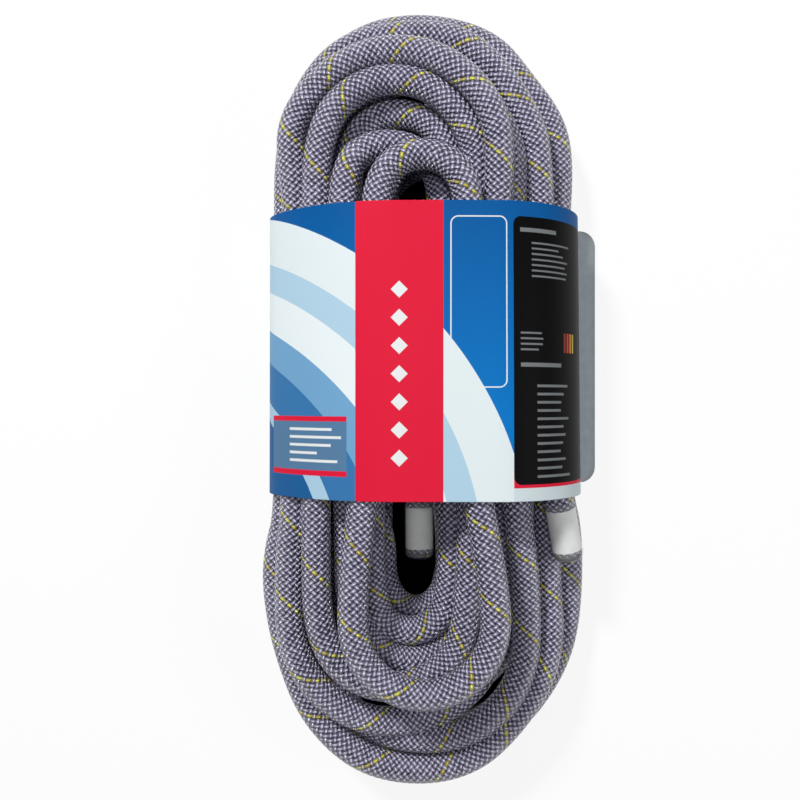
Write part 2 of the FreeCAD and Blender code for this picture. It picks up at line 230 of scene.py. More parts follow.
def legPoints(number):
    if number in legShapes:
        return [routePlace(*point) for point in legShapes[number]]
    start, finish = turnEnds(number)[1], turnEnds(number + 1)[0]
    firstLead, secondLead, way = legWays.get(number, (ropeValues["lead"], ropeValues["lead"], []))
    along = Vector((0.0, math.copysign(1.0, finish.y - start.y), 0.0))
    middle = [routePlace(*point) for point in way]
    return [start + along * mm(firstLead)] + middle + [finish - along * mm(secondLead)]


def strayed(points):
    moved = [points[0]]
    for point in points[1:-2]:
        drift = noise.noise_vector(point * ropeValues["wanderPace"]) * mm(ropeValues["wander"])
        moved.append(point + Vector((drift.x, drift.y, drift.z * ropeValues["wanderLift"])))
    return moved + points[-2:]


def routeSpline():
    points = [routePlace(*point) for point in startRun]
    for number in range(len(halfTurns)):
        points += turnPoints(number)
        if number + 1 < len(halfTurns):
            points += legPoints(number)
    points += [routePlace(*point) for point in crossing]
    points = strayed(points)
    curve = bpy.data.curves.new("ropeRoute", "CURVE")
    curve.dimensions = "3D"
    curve.resolution_u = 32
    spline = curve.splines.new("NURBS")
    spline.points.add(len(points) - 1)
    for target, point in zip(spline.points, points):
        target.co = (point.x, point.y, point.z, 1.0)
    spline.order_u = 3
    spline.use_endpoint_u = True
    holder = bpy.data.objects.new("ropeRoute", curve)
    scene.collection.objects.link(holder)
    bpy.context.view_layer.update()
    read = bpy.data.meshes.new_from_object(holder)
    line = [vertex.co.copy() for vertex in read.vertices]
    bpy.data.meshes.remove(read)
    bpy.data.objects.remove(holder)
    bpy.data.curves.remove(curve)
    return line


routeLine = routeSpline()
# points that fall together are one
routeLine = [point for point, after in zip(routeLine, routeLine[1:] + [None])
             if after is None or (after - point).length > 1e-6]
routeReached = [0.0]
for before, after in zip(routeLine, routeLine[1:]):
    routeReached.append(routeReached[-1] + (after - before).length)
ropeLength = routeReached[-1]
print("route read: %.3f m, %d points" % (ropeLength, len(routeLine)))

# a side direction is carried along the line, so the braid doesn't spin
routeSides = []
carried = Vector((1.0, 0.0, 0.0))
for index in range(len(routeLine)):
    ahead = routeLine[min(index + 1, len(routeLine) - 1)]
    behind = routeLine[max(index - 1, 0)]
    tangent = (ahead - behind).normalized()
    carried = (carried - tangent * carried.dot(tangent)).normalized()
    routeSides.append((tangent, carried.copy()))


def frameAt(distance):
    distance = min(max(distance, 0.0), ropeLength)
    index = min(bisect_right(routeReached, distance) - 1, len(routeLine) - 2)
    span = routeReached[index + 1] - routeReached[index]
    share = (distance - routeReached[index]) / span
    centre = routeLine[index].lerp(routeLine[index + 1], share)
    tangent = routeSides[index][0].lerp(routeSides[index + 1][0], share).normalized()
    side = routeSides[index][1].lerp(routeSides[index + 1][1], share)
    side = (side - tangent * side.dot(tangent)).normalized()
    return centre, tangent, side


def finishMesh(name, work, body, materials):
    mesh = bpy.data.meshes.new(name)
    work.to_mesh(mesh)
    work.free()
    piece = bpy.data.objects.new(name, mesh)
    scene.collection.objects.link(piece)
    for polygon in mesh.polygons:
        polygon.use_smooth = True
    for material in materials:
        mesh.materials.append(material)
    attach(piece, body)
    return piece


def sweep(rings, sides, closed, turning):
    # a grid is rolled round the rope's line; a ring is its distance along the rope,
    # the extra distance past the rope's end, and its radius
    pitch, last = mm(sheathValues["pitch"]), len(rings) - 1
    work = bmesh.new()
    uvLayer = work.loops.layers.uv.new("UVMap")
    bmesh.ops.create_grid(work, x_segments=sides, y_segments=last, size=0.5)
    cells = {vertex: (round((vertex.co.x + 0.5) * sides), round((vertex.co.y + 0.5) * last))
             for vertex in work.verts}
    for face in work.faces:
        for loop in face.loops:
            number, index = cells[loop.vert]
            loop[uvLayer].uv = (number / sides, (rings[index][0] + rings[index][1]) / pitch)
    frames = [frameAt(distance) for distance, _, _ in rings]
    for vertex, (number, index) in cells.items():
        distance, past, radius = rings[index]
        centre, tangent, side = frames[index]
        angle = 2.0 * math.pi * number / sides + turning(distance)
        outward = side * math.cos(angle) + tangent.cross(side) * math.sin(angle)
        vertex.co = centre + tangent * past + outward * radius
    bmesh.ops.remove_doubles(work, verts=work.verts, dist=1e-7)
    if closed:
        rims = [edge for edge in work.edges if edge.is_boundary]
        bmesh.ops.holes_fill(work, edges=rims, sides=0)
    bmesh.ops.recalc_face_normals(work, faces=work.faces)
    return work


def linear(hexColour):
    channels = [int(hexColour[place:place + 2], 16) / 255.0 for place in (1, 3, 5)]
    turned = [value / 12.92 if value <= 0.04045 else ((value + 0.055) / 1.055) ** 2.4
              for value in channels]
    return (*turned, 1.0)


def addNode(tree, kind, inputs=(), **settings):
    # inputs go by place or by name; hex text is a colour
    node = tree.nodes.new("ShaderNode" + kind)
    for field, value in settings.items():
        setattr(node, field, value)
    for key, value in inputs.items() if isinstance(inputs, dict) else enumerate(inputs):
        if isinstance(value, bpy.types.Node):
            value = next(socket for socket in value.outputs if socket.enabled)
        if isinstance(value, bpy.types.NodeSocket):
            tree.links.new(value, node.inputs[key])
        elif isinstance(value, str):
            node.inputs[key].default_value = linear(value)
        else:
            node.inputs[key].default_value = value
    return node


def grains(size):
    # a noise texture's scale on Object coordinates for grains of this many millimetres
    return 1000.0 / size


def newMaterial(name):
    material = bpy.data.materials.new(name)
    material.use_nodes = True
    tree = material.node_tree
    tree.nodes.clear()
    return material, tree


sheathValues = {
    "carriers": 12,  # doubled yarns each way round an 8.5 mm sheath
    "pitch": 22.6,  # one carrier's full turn, 2.7 diameters
    "yarn": "#74718F",
    "yarnPale": "#ADA8C6",
    # painted highlight on each block's crown
    "paintedHighlight": "#E9E6F6",
    # painted shade in the grooves between blocks
    "paintedShade": "#08070B",
    "tracer": "#E9E66A",
    "tracerDark": "#C2B14C",
    "relief": 2.4,  # groove to crown, deeper than the real one so that it shows
    "pillow": 0.77,  # share of the relief that is the yarn's own roundness
    "wave": 0.23,  # share that is its going over and under
    "ridge": 0.035,  # share that is the pair's two yarns
    "steepness": 4.3,  # how fast the pillow falls towards its edges
    "highlightFrom": 0.76, "highlightStrength": 0.85,  # height where the painted highlight starts, its strength
    # heights where the painted groove shade is full and where it is gone
    "grooveShadeFull": 0.04, "grooveShadeGone": 0.34,
    "roughness": 0.36, "coat": 0.9, "coatRoughness": 0.2,
}


# Nylon 6 filament yarn, braided in pairs, one over one under, glossy: lighter on each rounded
# block's lit side, with a painted highlight on its crown and painted shade at its corners. One
# pair is a yellow tracer.
def braidMaterial():
    values = sheathValues
    material, tree = newMaterial("braidedNylonSheath")
    place = addNode(tree, "UVMap", uv_map="UVMap")
    split = addNode(tree, "SeparateXYZ", [place])
    families = []
    for direction in ("ADD", "SUBTRACT"):
        turned = addNode(tree, "Math", [split.outputs[0], split.outputs[1]], operation=direction)
        reached = addNode(tree, "Math", [turned, values["carriers"]], operation="MULTIPLY")
        number = addNode(tree, "Math", [reached], operation="FLOOR")
        share = addNode(tree, "Math", [reached], operation="FRACT")
        halfCircle = addNode(tree, "Math", [number, math.pi], operation="MULTIPLY")
        sign = addNode(tree, "Math", [halfCircle], operation="COSINE")
        families.append((reached, number, share, sign))
    heights, blocks = [], []
    for own, other, way in ((0, 1, 1.0), (1, 0, -1.0)):
        _, number, share, sign = families[own]
        crossed = families[other][0]
        offset = addNode(tree, "Math", [share, 0.5], operation="SUBTRACT")
        squared = addNode(tree, "Math", [offset, offset], operation="MULTIPLY")
        pillow = addNode(tree, "Math", [squared, -values["steepness"] * values["pillow"],
                                        values["pillow"]], operation="MULTIPLY_ADD")
        # the pair's two yarns, each a low ridge
        doubled = addNode(tree, "Math", [share, 4.0 * math.pi], operation="MULTIPLY")
        ridge = addNode(tree, "Math", [doubled], operation="COSINE")
        ridged = addNode(tree, "Math", [ridge, -values["ridge"], pillow],
                         operation="MULTIPLY_ADD")
        phase = addNode(tree, "Math", [crossed, math.pi], operation="MULTIPLY")
        swing = addNode(tree, "Math", [phase], operation="SINE")
        signed = addNode(tree, "Math", [swing, sign], operation="MULTIPLY")
        heights.append(addNode(tree, "Math", [signed, way * values["wave"], ridged],
                               operation="MULTIPLY_ADD"))
        # a block's own number, the same over its whole length
        halved = addNode(tree, "Math", [crossed, 0.5, (way - 1.0) * 0.25],
                         operation="MULTIPLY_ADD")
        moved = addNode(tree, "Math", [sign, 0.25, halved], operation="MULTIPLY_ADD")
        counted = addNode(tree, "Math", [moved], operation="FLOOR")
        named = addNode(tree, "Math", [number, 0.37 * (1.0 - way)], operation="ADD")
        blocks.append(addNode(tree, "CombineXYZ", [named, counted]))
    onTop = addNode(tree, "Math", heights, operation="GREATER_THAN")
    surface = addNode(tree, "Math", heights, operation="MAXIMUM")
    spot = addNode(tree, "Mix", {0: onTop, 4: blocks[1], 5: blocks[0]}, data_type="VECTOR")
    chance = addNode(tree, "TexWhiteNoise", {0: spot}, noise_dimensions="2D")
    rightNumber = families[0][1]
    counted = addNode(tree, "Math", [rightNumber, values["carriers"]], operation="FLOORED_MODULO")
    first = addNode(tree, "Math", [counted, 0.5], operation="LESS_THAN")
    tracer = addNode(tree, "Math", [first, onTop], operation="MULTIPLY")
    # colour: each block a little different, a painted highlight where it is highest, painted shade
    # in the corners
    plain = addNode(tree, "Mix", {0: chance, 6: values["yarn"], 7: values["yarnPale"]},
                    data_type="RGBA")
    # painted highlight: stronger the higher the block stands
    high = addNode(tree, "MapRange", {0: surface, 1: values["highlightFrom"], 2: 1.0, 3: 0.0,
                                      4: values["highlightStrength"]})
    highlightedYarn = addNode(tree, "Mix", {0: high, 6: plain, 7: values["paintedHighlight"]}, data_type="RGBA")
    yellow = addNode(tree, "Mix", {0: chance, 6: values["tracer"], 7: values["tracerDark"]},
                     data_type="RGBA")
    yarn = addNode(tree, "Mix", {0: tracer, 6: highlightedYarn, 7: yellow}, data_type="RGBA")
    # painted shade: the grooves are darkened where the surface is lowest
    grooveShade = addNode(tree, "MapRange", {0: surface, 1: values["grooveShadeFull"],
                                        2: values["grooveShadeGone"], 3: 1.0, 4: 0.0},
                     interpolation_type="SMOOTHSTEP")
    colour = addNode(tree, "Mix", {0: grooveShade, 6: yarn, 7: values["paintedShade"]}, data_type="RGBA")
    bump = addNode(tree, "Bump", {"Strength": 1.0, "Distance": mm(values["relief"]),
                                  "Height": surface})
    shader = addNode(tree, "BsdfPrincipled",
                     {"Base Color": colour, "Roughness": values["roughness"], "IOR": 1.53,
                      "Normal": bump, "Coat Weight": values["coat"],
                      "Coat Roughness": values["coatRoughness"], "Coat Normal": bump})
    addNode(tree, "OutputMaterial", [shader])
    return material


def ropeTurning(distance):
    twist, twistLength = ropeValues["twist"]
    shiver, shiverLength = ropeValues["shiver"]
    return (twist * math.sin(distance / twistLength)
            + shiver * math.sin(distance / shiverLength + 1.0))


ropeRadius = mm(ropeValues["diameter"]) / 2.0
ringCount = int(round(ropeLength / mm(ropeValues["ringSpacing"])))
ropeRings = []
for number in range(ringCount + 1):
    distance = ropeLength * number / ringCount
    swell = 1.0 + ropeValues["swell"] * noise.noise(
        Vector((distance * ropeValues["swellPace"], 3.1, 0.0)))
    ropeRings.append((distance, 0.0, ropeRadius * swell))
ropeWork = sweep(ropeRings, ropeValues["sides"], True, ropeTurning)
rope = finishMesh("ropeSheath", ropeWork, "rope", [braidMaterial()])
ropeCentres = [frameAt(distance)[0] for distance, _, _ in ropeRings]
print("rope swept: %d rings" % len(ropeRings))


# the two free ends: paper label, clear tube, melted tip
endValues = {
    "labelStart": 1.2, "labelLength": 13.0, "labelLift": 0.12,
    "tubePast": 1.4, "tubeLength": 17.5, "tubeLift": 0.24, "tubeWall": 0.2,
    "tipLength": 2.6, "tipShrink": 0.12, "tipLumps": 0.12, "tipPace": 700.0,
    "sides": 48,
    "paper": ("#E6E7E4", "#FAFAF8"), "paperCloud": 1.111,
    "film": "#DDE2E4", "filmShare": 0.1, "filmWrinkle": 3.125,
    "melt": ("#121117", "#36333F"), "meltLump": 2.0,
    "fleck": "#B8A84A", "fleckSize": 2.381,
}


def noTurning(distance):
    return 0.0


def endRing(atFinish, inward, radius):
    # a ring this far in from the sheath's end, or past it where inward is negative
    if atFinish:
        return (ropeLength - max(mm(inward), 0.0), max(-mm(inward), 0.0), radius)
    return (max(mm(inward), 0.0), min(mm(inward), 0.0), radius)


# Uncoated white paper under the clear tube, a little grey in soft clouds.
def paperMaterial():
    material, tree = newMaterial("whiteLabelPaper")
    place = addNode(tree, "TexCoord")
    cloud = addNode(tree, "TexNoise", {"Vector": place.outputs["Object"], "Detail": 4.0,
                                       "Scale": grains(endValues["paperCloud"])})
    low, high = endValues["paper"]
    colour = addNode(tree, "Mix", {0: cloud, 6: low, 7: high}, data_type="RGBA")
    bump = addNode(tree, "Bump", {"Strength": 0.4, "Distance": mm(0.05), "Height": cloud})
    shader = addNode(tree, "BsdfPrincipled", {"Base Color": colour, "Roughness": 0.75,
                                              "IOR": 1.47, "Normal": bump})
    addNode(tree, "OutputMaterial", [shader])
    return material


# Clear polyolefin heat-shrink film: glossy, slightly wrinkled where it drew in.
def clearTubeMaterial():
    material, tree = newMaterial("clearShrinkTube")
    place = addNode(tree, "TexCoord")
    wrinkle = addNode(tree, "TexNoise", {"Vector": place.outputs["Object"], "Detail": 2.0,
                                         "Scale": grains(endValues["filmWrinkle"])})
    bump = addNode(tree, "Bump", {"Strength": 0.35, "Distance": mm(0.2), "Height": wrinkle})
    shader = addNode(tree, "BsdfPrincipled",
                     {"Base Color": endValues["film"], "Roughness": 0.14, "IOR": 1.5,
                      "Alpha": endValues["filmShare"], "Normal": bump})
    addNode(tree, "OutputMaterial", [shader])
    return material


# Nylon melted with a hot knife: a dark, glassy lump with flecks of the yellow yarn in it.
def meltedMaterial():
    material, tree = newMaterial("meltedNylon")
    place = addNode(tree, "TexCoord")
    lump = addNode(tree, "TexNoise", {"Vector": place.outputs["Object"], "Detail": 5.0,
                                      "Scale": grains(endValues["meltLump"])})
    fleck = addNode(tree, "TexNoise", {"Vector": place.outputs["Object"], "Detail": 1.0,
                                       "Scale": grains(endValues["fleckSize"])})
    low, high = endValues["melt"]
    dark = addNode(tree, "Mix", {0: lump, 6: low, 7: high}, data_type="RGBA")
    speck = addNode(tree, "MapRange", {0: fleck, 1: 0.66, 2: 0.72},
                    interpolation_type="SMOOTHSTEP")
    colour = addNode(tree, "Mix", {0: speck, 6: dark, 7: endValues["fleck"]}, data_type="RGBA")
    bump = addNode(tree, "Bump", {"Strength": 0.8, "Distance": mm(0.4), "Height": lump})
    shader = addNode(tree, "BsdfPrincipled", {"Base Color": colour, "Roughness": 0.32,
                                              "IOR": 1.53, "Normal": bump})
    addNode(tree, "OutputMaterial", [shader])
    return material


paper = paperMaterial()
clearTube = clearTubeMaterial()
melted = meltedMaterial()


def ropeEnd(side, atFinish):
    values = endValues
    steps = 10
    labelRadius = ropeRadius + mm(values["labelLift"])
    labelRings = [endRing(atFinish, values["labelStart"] + values["labelLength"] * number / steps,
                          labelRadius) for number in range(steps + 1)]
    work = sweep(labelRings, values["sides"], False, noTurning)
    label = finishMesh("endLabel_" + side, work, "rope", [paper])
    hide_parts("end_label_" + side)

    outerRadius = ropeRadius + mm(values["tubeLift"] + values["tubeWall"])
    innerRadius = ropeRadius + mm(values["tubeLift"])
    lips = [(0.0, -0.45), (0.5, -0.2), (1.2, -0.05), (2.4, 0.0)]  # the film draws in at its end
    outer = [(-values["tubePast"] + back, draw) for back, draw in lips]
    outer += [(-values["tubePast"] + values["tubeLength"] * share, 0.0)
              for share in (0.3, 0.45, 0.6, 0.75, 0.9, 1.0)]
    profile = [endRing(atFinish, inward, outerRadius + mm(draw)) for inward, draw in outer]
    profile += [endRing(atFinish, inward, innerRadius + mm(draw))
                for inward, draw in reversed(outer)]
    profile.append(profile[0])
    work = sweep(profile, values["sides"], False, noTurning)
    tube = finishMesh("shrinkTube_" + side, work, "rope", [clearTube])
    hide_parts("heat_shrink_" + side)

    tipRadius = ropeRadius - mm(values["tipShrink"])
    dome = [(0.0, 1.0), (0.35, 0.99), (0.6, 0.93), (0.8, 0.8), (0.93, 0.58), (0.99, 0.3)]
    tipRings = [endRing(atFinish, -values["tipLength"] * out, tipRadius * wide)
                for out, wide in dome]
    work = sweep(tipRings, values["sides"], True, noTurning)
    for vertex in work.verts:
        vertex.co += noise.noise_vector(vertex.co * values["tipPace"]) * mm(values["tipLumps"])
    tip = finishMesh("meltedTip_" + side, work, "rope", [melted])
    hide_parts("melted_tip_" + side)
    return [label, tube, tip]


endPieces = ropeEnd("inner", False) + ropeEnd("outer", True)
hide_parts("rope_hank", "sheath_tail_inner", "core_strands_inner",
            "sheath_tail_outer", "core_strands_outer")
print("rope ends made")


# the card sleeve: one strip of board, printed outside
sleeveValues = {
    "thickness": 0.5,
    "height": 81.5, "middle": 13.2,
    "left": -45.4, "right": 47.0, "top": 46.9,
    "shoulder": 16.5, "frontRadius": 45.0, "frontAngle": 51.4,
    "rightRadius": 28.2, "rightSlope": 6.0,
    "fold": 1.2, "glueGap": 0.2, "flap": 16.0,
    "tabReach": 7.5, "tabCorner": 5.0, "tabRun": 12.0,
    "lean": 1.0,  # how much narrower the right side is at its top
    "leanFrom": 20.0, "leanRun": 27.0,
    "swell": 0.25,  # how far the legs inside push the front out
    "swellPace": (55.0, 16.0),  # noise cells in a metre, across and along
    "skew": 0.8,  # how far the tab sits higher than the front
}


def stripProfile():
    # walks the strip from the tab, under the hank, up the left side, over the front,
    # down the right side and in under the hank; X, Z, and distance along it
    values = sleeveValues
    bend, slope = math.radians(values["frontAngle"]), math.radians(values["rightSlope"])
    half = values["thickness"] / 2.0
    lowRadius = (values["top"] - half - values["shoulder"] * math.cos(bend)
                 - values["frontRadius"] * (1.0 - math.cos(bend)))
    flapHeight = 1.5 * values["thickness"] + values["glueGap"]
    sideDrop = values["rightRadius"] * (1.0 - math.sin(slope))
    runDrop = values["top"] - sideDrop - flapHeight - values["fold"] * (1.0 + math.sin(slope))
    foldX = values["right"] + runDrop * math.tan(slope)
    frontStart = (values["left"] + values["shoulder"] * (1.0 - math.sin(bend))
                  + values["frontRadius"] * math.sin(bend))
    tabX = foldX + values["tabReach"]
    moves = [
        (tabX - values["left"] - lowRadius, 0.0, 26),
        (lowRadius, math.pi / 2.0, 10),
        (values["shoulder"], math.pi / 2.0 - bend, 6),
        (values["frontRadius"], bend, 20),
        (values["right"] - values["rightRadius"] * math.cos(slope) - frontStart, 0.0, 10),
        (values["rightRadius"], math.pi / 2.0 - slope, 24),
        (runDrop / math.cos(slope), 0.0, 6),
        (values["fold"], math.pi / 2.0 + slope, 6),
        (values["flap"], 0.0, 6),
    ]
    here, heading, travelled = Vector((tabX, half)), math.pi, 0.0
    places = [(here.x, here.y, 0.0)]
    zero = 0.0
    for number, (size, angle, steps) in enumerate(moves):
        if number == 4:
            zero = travelled - here.x  # so that the distance equals X across the flat front
        start, first = here.copy(), heading
        for step in range(1, steps + 1):
            share = step / steps
            if angle:
                centre = start + Vector((math.sin(first), -math.cos(first))) * size
                heading = first - angle * share
                here = centre + Vector((-math.sin(heading), math.cos(heading))) * size
                places.append((here.x, here.y, travelled + size * angle * share))
            else:
                here = start + Vector((math.cos(first), math.sin(first))) * (size * share)
                places.append((here.x, here.y, travelled + size * share))
        travelled += size * angle if angle else size
    return [(x, z, distance - zero) for x, z, distance in places]


def buildSleeve(materials):
    values = sleeveValues
    profile = stripProfile()
    low = values["middle"] - values["height"] / 2.0
    rows = [0.0, 0.2, 0.6, 1.2, 2.2, 3.5, 5.0]
    rows = rows + [5.0 + (values["height"] - 10.0) * step / 30 for step in range(1, 30)]
    rows = rows + [values["height"] - row for row in (5.0, 3.5, 2.2, 1.2, 0.6, 0.2, 0.0)]
    work = bmesh.new()
    alongLayer = work.verts.layers.float.new("along")
    column = []
    for x, z, distance in profile:
        vertex = work.verts.new((mm(x), mm(low), mm(z)))
        vertex[alongLayer] = distance
        column.append(vertex)
    edges = [work.edges.new(pair) for pair in zip(column, column[1:])]
    for before, after in zip(rows, rows[1:]):
        grown = bmesh.ops.extrude_edge_only(work, edges=edges)["geom"]
        moved = [item for item in grown if isinstance(item, bmesh.types.BMVert)]
        edges = [item for item in grown if isinstance(item, bmesh.types.BMEdge)
                 and abs(item.verts[0].co.y - item.verts[1].co.y) < 1e-9]
        bmesh.ops.translate(work, verts=moved, vec=(0.0, mm(after - before), 0.0))
    uvLayer = work.loops.layers.uv.new("UVMap")
    tabEnd, firstDistance = profile[0][0], profile[0][2]
    for face in work.faces:
        for loop in face.loops:
            loop[uvLayer].uv = (loop.vert[alongLayer], loop.vert.co.y * 1000.0)
    corner, run = values["tabCorner"], values["tabRun"]
    across, along = values["swellPace"]
    for vertex in work.verts:
        tab = vertex[alongLayer] - firstDistance
        edge = min(vertex.co.y * 1000.0 - low, low + values["height"] - vertex.co.y * 1000.0)
        if tab < run and edge < corner:
            inset = corner - math.sqrt(max(corner ** 2 - (corner - edge) ** 2, 0.0))
            vertex.co.x = mm(tabEnd - inset - tab * (run - inset) / run)
        vertex.co.y += mm(values["skew"]) * max(1.0 - tab / run, 0.0)
        beyond = vertex.co.x - mm(values["leanFrom"])
        if beyond > 0.0 and vertex.co.z > mm(4.0):
            up = (vertex.co.y - mm(low)) / mm(values["height"])
            vertex.co.x -= mm(values["lean"]) * up * beyond / mm(values["leanRun"])
        if vertex.co.z > mm(20.0):
            push = noise.noise(Vector((vertex.co.x * across, vertex.co.y * along, 4.0)))
            outward = Vector((vertex.co.x, 0.0, vertex.co.z)).normalized()
            vertex.co += outward * mm(values["swell"]) * (push + 0.5)
    bmesh.ops.recalc_face_normals(work, faces=work.faces)
    work.faces.ensure_lookup_table()
    front = max(work.faces, key=lambda face: face.calc_center_median().z)
    if front.normal.z < 0.0:
        bmesh.ops.reverse_faces(work, faces=work.faces)
    piece = finishMesh("printedSleeve", work, "sleeve", materials)
    wall = piece.modifiers.new("board", "SOLIDIFY")
    wall.thickness = mm(values["thickness"])
    wall.offset = 0.0
    wall.use_even_offset = True
    wall.material_offset = 1
    wall.material_offset_rim = 2
    return piece


printValues = {
    "skyLow": "#0872BE", "skyTop": "#0A5596",
    "red": "#D81C3A", "black": "#08080A", "white": "#DFE2E2", "slate": "#54799C",
    "grey": "#74787A", "pale": "#C9D6DA", "worn": "#B9C2C8", "wornSize": 0.7692,
    "stripe": (-18.9, 5.0),
    "lozenges": (-6.9, 2.3, 7.6, -19.5, 33.7),  # middle, half width, spacing, low, high
    "frameBox": (7.0, 22.1, 3.5, 49.6), "frameLine": 0.17,
    "panel": (24.0, 64.0, -23.0, 49.8),
    "note": (-49.5, -21.4, -21.0, -4.5),
    "arcCentre": (-72.0, -46.0, 0.0),
    # each arc's outer radius and ink, the largest first
    "arcs": [(101.0, "#D9E3E6"), (88.0, "#A9C8DB"), (80.0, "#DFE8EA"), (69.0, "#6FA0C6"),
             (60.0, "#3873A8"), (49.0, "#A5C5DA"), (44.0, "#1F5C94")],
    # rows of bars on the panel: box, spacing, height, seed
    "bars": [((26.0, 46.0, 44.8, 47.6), 2.8, 1.1, 1.0), ((29.5, 46.0, 33.0, 43.5), 1.5, 0.5, 7.0),
             ((26.0, 36.0, 13.0, 19.0), 1.5, 0.5, 20.0), ((26.0, 44.0, 8.2, 11.0), 2.8, 1.1, 31.0),
             ((31.0, 45.0, -22.0, 5.0), 2.25, 0.7, 43.0)],
    "chipWidth": 1.0, "chipRow": (13.2, 18.6),
    # colour chips on the panel: left edge and ink
    "chips": [(41.6, "#8A3A2E"), (43.2, "#C8452E"), (44.8, "#C98A2C"), (46.4, "#C9B53A")],
}


def boxDistance(tree, across, along, box, corner):
    # signed distance in millimetres to a box with rounded corners
    left, right, low, high = box
    sides = []
    for place, first, last in ((across, left, right), (along, low, high)):
        shifted = addNode(tree, "Math", [place, (first + last) / 2.0], operation="SUBTRACT")
        outward = addNode(tree, "Math", [shifted], operation="ABSOLUTE")
        sides.append(addNode(tree, "Math", [outward, (last - first) / 2.0 - corner],
                             operation="SUBTRACT"))
    beyond = [addNode(tree, "Math", [side, 0.0], operation="MAXIMUM") for side in sides]
    square = addNode(tree, "Math", [beyond[1], beyond[1]], operation="MULTIPLY")
    squares = addNode(tree, "Math", [beyond[0], beyond[0], square], operation="MULTIPLY_ADD")
    far = addNode(tree, "Math", [squares], operation="SQRT")
    larger = addNode(tree, "Math", sides, operation="MAXIMUM")
    within = addNode(tree, "Math", [larger, 0.0], operation="MINIMUM")
    total = addNode(tree, "Math", [far, within], operation="ADD")
    return addNode(tree, "Math", [total, corner], operation="SUBTRACT")


def inked(tree, under, distance, ink):
    # lays an ink where the distance is below nought, with a soft edge of a tenth of a millimetre
    mask = addNode(tree, "MapRange", {0: distance, 1: -0.06, 2: 0.06, 3: 1.0, 4: 0.0})
    return addNode(tree, "Mix", {0: mask, 6: under, 7: ink}, data_type="RGBA")


def barRows(tree, across, along, box, spacing, height, seed):
    # plain bars of uneven length, row under row: distance to the nearest
    left, right, low, high = box
    lifted = addNode(tree, "Math", [along, low], operation="SUBTRACT")
    rowed = addNode(tree, "Math", [lifted, spacing], operation="DIVIDE")
    row = addNode(tree, "Math", [rowed], operation="FLOOR")
    share = addNode(tree, "Math", [rowed], operation="FRACT")
    centred = addNode(tree, "Math", [share, 0.5], operation="SUBTRACT")
    off = addNode(tree, "Math", [centred], operation="ABSOLUTE")
    aside = addNode(tree, "Math", [off, spacing, -height / 2.0], operation="MULTIPLY_ADD")
    shuffled = addNode(tree, "Math", [row, seed], operation="ADD")
    chance = addNode(tree, "TexWhiteNoise", {"W": shuffled}, noise_dimensions="1D")
    end = addNode(tree, "Math", [chance, (right - left) * 0.45, right - (right - left) * 0.45],
                  operation="MULTIPLY_ADD")
    past = addNode(tree, "Math", [across, end], operation="SUBTRACT")
    frame = boxDistance(tree, across, along, box, 0.1)
    edge = addNode(tree, "Math", [aside, past], operation="MAXIMUM")
    return addNode(tree, "Math", [edge, frame], operation="MAXIMUM")


